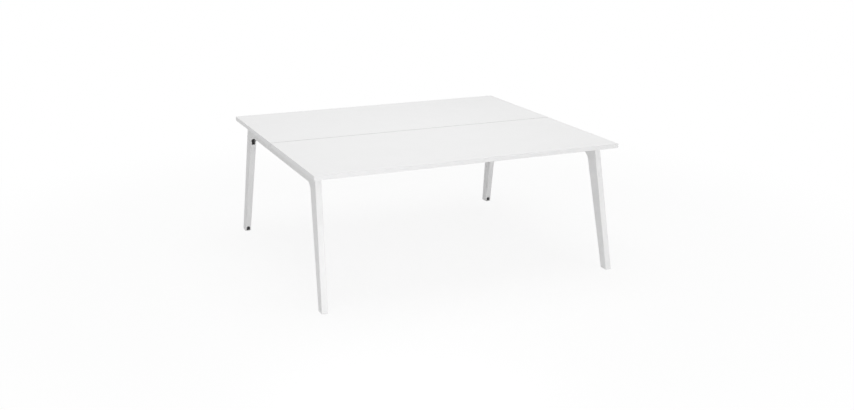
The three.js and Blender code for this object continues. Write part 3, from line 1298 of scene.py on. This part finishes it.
def placeScrews():
    master = makeScrew()
    for holder in ("beam", "crossbar"):
        low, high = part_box(f"rear_{holder}_right_screw")
        middle = (low + high) / 2
        place = Matrix.Translation((middle.x, middle.y, low.z + screwSizes["headHeight"]))
        label = holder.capitalize() + "Screw"
        screw = copyOf(master, "rearRight" + label, place)
        cornerPieces(label, "{seat}_" + holder + "_{side}_screw", screw, zinc)
    bpy.data.objects.remove(master)


placeScrews()
print("screws made")


# feet: a moulded block in the leg's end, and a threaded leveller that draws up inside it

footSizes = {
    "innerY": 0.776,
    "cover": 0.0023,  # wall of the leg and its clearance
    "edgeRound": 0.0008,
    "roundSteps": 4,
    "recessRadius": 0.0115,
    "recessHeight": 0.0105,
    "recessSides": 64,
    "boreRadius": 0.0043,
    "boreSides": 40,
}

padSizes = {
    "radius": 0.011,
    "sides": 64,
    "soleRound": 0.0011,
    "soleSteps": 4,
    "topRound": 0.0005,
    "topSteps": 3,
    "soleInset": 0.004,
    "soleHollow": 0.0006,
    "socketRadius": 0.0043,
    "socketDepth": 0.0035,
    "socketSides": 48,
}

stemSizes = {
    "hexAcross": 0.013,
    "hexLow": 0.0003,  # above the pad
    "hexHeight": 0.004,
    "hexChamfer": 0.0007,
    "neckRadius": 0.004,
    "neckRound": 0.004 / 3,
    "neckSteps": 4,
    "neckSides": 40,
}

padLow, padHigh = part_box("rear_right_leveller_pad")
stemLow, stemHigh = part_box("rear_right_leveller_stem")
leveller = Matrix.Translation(((padLow.x + padHigh.x) / 2, (padLow.y + padHigh.y) / 2, 0))


def makeInsert():
    # its outer side runs up along the leg's
    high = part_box("rear_right_foot_insert")[1]
    halfWidth = frameSizes["thickness"] / 2 - footSizes["cover"]
    innerX = frameMidX - halfWidth
    shift = high.y - slopeAt(frameSizes["outerY"], 0)
    insert = addSheet("rearRightInsert", [
        (innerX, footSizes["innerY"], 0),
        (innerX, high.y, 0),
        (innerX, footSizes["innerY"], high.z),
        (innerX, slopeAt(frameSizes["outerY"], high.z) + shift, high.z),
    ])
    editAll(insert)
    extrude(2 * halfWidth, 0, 0)
    faceOutwards(insert)
    bevelEdges(insert, lambda ends: True, footSizes["edgeRound"], footSizes["roundSteps"])
    leanIn(insert)
    recessHeight = footSizes["recessHeight"]
    drill(insert, footSizes["recessRadius"], -cutDepth, recessHeight, footSizes["recessSides"], leveller)
    drill(insert, footSizes["boreRadius"], 0, high.z + cutDepth, footSizes["boreSides"], leveller)
    return insert


def makePad():
    low = padLow.z
    high = padHigh.z
    pad = addRod("rearRightPad", padSizes["radius"], low, high, padSizes["sides"])
    bevelEdges(pad, inPlane(zAxis, low), padSizes["soleRound"], padSizes["soleSteps"])
    bevelEdges(pad, inPlane(zAxis, high), padSizes["topRound"], padSizes["topSteps"])
    selectParts(pad, "FACE", inPlane(zAxis, low))
    bpy.ops.mesh.inset(thickness=padSizes["soleInset"])
    extrude(0, 0, padSizes["soleHollow"])
    objectMode()
    socketLow = high - padSizes["socketDepth"]
    drill(pad, padSizes["socketRadius"], socketLow, high + cutDepth, padSizes["socketSides"])
    pad.data.transform(leveller)
    return pad


def makeStem():
    bottom = stemLow.z
    hexLow = padHigh.z + stemSizes["hexLow"]
    hexHigh = hexLow + stemSizes["hexHeight"]
    hexMiddle = hexLow + stemSizes["hexHeight"] / 2
    stem = makeHexHead("rearRightStem", stemSizes["hexAcross"], hexLow, hexHigh, stemSizes["hexChamfer"])
    neck = addRod("neck", stemSizes["neckRadius"], bottom, hexMiddle, stemSizes["neckSides"])
    bevelEdges(neck, inPlane(zAxis, bottom), stemSizes["neckRound"], stemSizes["neckSteps"])
    combine(stem, neck, "UNION")
    combine(stem, makeThread("stemThread", boltSizes, hexMiddle, stemHigh.z), "UNION")
    stem.data.transform(leveller)
    return stem


cornerPieces("Insert", "{seat}_{side}_foot_insert", makeInsert(), blackPlastic)
cornerPieces(
    "Pad",
    "{seat}_{side}_leveller_pad",
    makePad(),
    blackPlastic,
    body="{seat}_{side}_pad",
)
cornerPieces("Stem", "{seat}_{side}_leveller_stem", makeStem(), zinc, body="{seat}_{side}_stem")
print("feet made")


# stage: a white sweep of floor under soft studio light

stageLook = {
    "floorSize": 60.0,
    "floorColour": (0.95, 0.95, 0.95),
    "floorGlow": 0.86,
    "glowFrom": 1.2,
    "glowTo": 3.5,
    "worldLight": 0.484,
    "lampAim": (0.0, 0.0, 0.4),
}

lamps = {
    "overheadLamp": {"place": (0.0, 0.0, 4.6), "size": (4.0, 4.0), "power": 92.0},
    "frontLeftLamp": {"place": (-2.428, -4.205, 2.982), "size": (2.5, 2.5), "power": 24.8},
    "frontRightLamp": {"place": (2.66, -4.799, 0.784), "size": (2.5, 1.4), "power": 43.9},
    "nearLeftLamp": {"place": (-0.976, -2.192, 0.32), "size": (0.8, 0.6), "power": 4.5},
}

pureWhite = (1, 1, 1, 1)


def seenDirectly(wire):
    # 1 for the camera and for what shines or shows through, 0 for the light that bounces
    path = wire.node("ShaderNodeLightPath")
    mirrorsAndGlass = path.output("Is Glossy Ray") + path.output("Is Transmission Ray")
    return wire.maths("MINIMUM", path.output("Is Camera Ray") + mirrorsAndGlass, 1.0)


def insideLegs(wire, coords):
    # 1 on the floor within the hollow legs, which only the openings let light onto
    places = wire.node("ShaderNodeSeparateXYZ", None, {0: coords})
    spans = {
        "X": (frameInnerX, frameSizes["outerX"]),
        "Y": (frameSizes["innerY"][0], frameSizes["outerY"][0]),
    }
    within = 1.0
    for axis, (low, high) in spans.items():
        middle = (low + high) / 2
        reach = (high - low - frameSizes["wall"]) / 2
        within = within * wire.maths("COMPARE", abs(places.output(axis)), middle, reach)
    return within


def makeFloor(look):
    deselectAll()
    bpy.ops.mesh.primitive_plane_add(size=look["floorSize"])
    floor = named("studioFloor")
    finish = bpy.data.materials.new("studioFloor")
    wire = blankNodes(finish)
    lit = wire.node("ShaderNodeBsdfDiffuse", None, {"Color": (*look["floorColour"], 1)})
    glow = wire.node("ShaderNodeEmission", None, {"Color": pureWhite, "Strength": 1.0})
    # the glow fills up with the distance, so only the shadow round the desk is kept
    coords = wire.node("ShaderNodeTexCoord", output="Object")
    distance = wire.node("ShaderNodeVectorMath", {"operation": "LENGTH"}, {0: coords}, output="Value")
    share = wire.node(
        "ShaderNodeMapRange",
        {"interpolation_type": "SMOOTHSTEP"},
        {
            "Value": distance,
            "From Min": look["glowFrom"],
            "From Max": look["glowTo"],
            "To Min": look["floorGlow"],
            "To Max": 1.0,
        },
    )
    glowShare = seenDirectly(wire) * share * (1 - insideLegs(wire, coords))
    seen = wire.mixed(glowShare, lit, glow)
    # from below the floor is clear
    below = wire.node("ShaderNodeNewGeometry", output="Backfacing")
    clear = wire.node("ShaderNodeBsdfTransparent")
    wire.node("ShaderNodeOutputMaterial", None, {"Surface": wire.mixed(below, seen, clear)})
    floor.data.materials.append(finish)


def lightStage(look):
    world = bpy.data.worlds.new("studioWorld")
    bpy.context.scene.world = world
    wire = blankNodes(world)
    light = wire.node("ShaderNodeBackground", None, {"Color": pureWhite, "Strength": look["worldLight"]})
    white = wire.node("ShaderNodeBackground", None, {"Color": pureWhite, "Strength": 1.0})
    mixed = wire.mixed(seenDirectly(wire), light, white)
    wire.node("ShaderNodeOutputWorld", None, {"Surface": mixed})


def addLamp(name, lamp, aim):
    deselectAll()
    bpy.ops.object.light_add(type="AREA", location=lamp["place"])
    made = named(name)
    made.data.energy = lamp["power"]
    made.data.shape = "RECTANGLE"
    made.data.size, made.data.size_y = lamp["size"]
    made.rotation_euler = (Vector(lamp["place"]) - Vector(aim)).to_track_quat("Z", "Y").to_euler()
    made.visible_camera = False


makeFloor(stageLook)
lightStage(stageLook)
for name, lamp in lamps.items():
    addLamp(name, lamp, stageLook["lampAim"])
bpy.context.scene.view_settings.view_transform = "Standard"
print("stage lit")
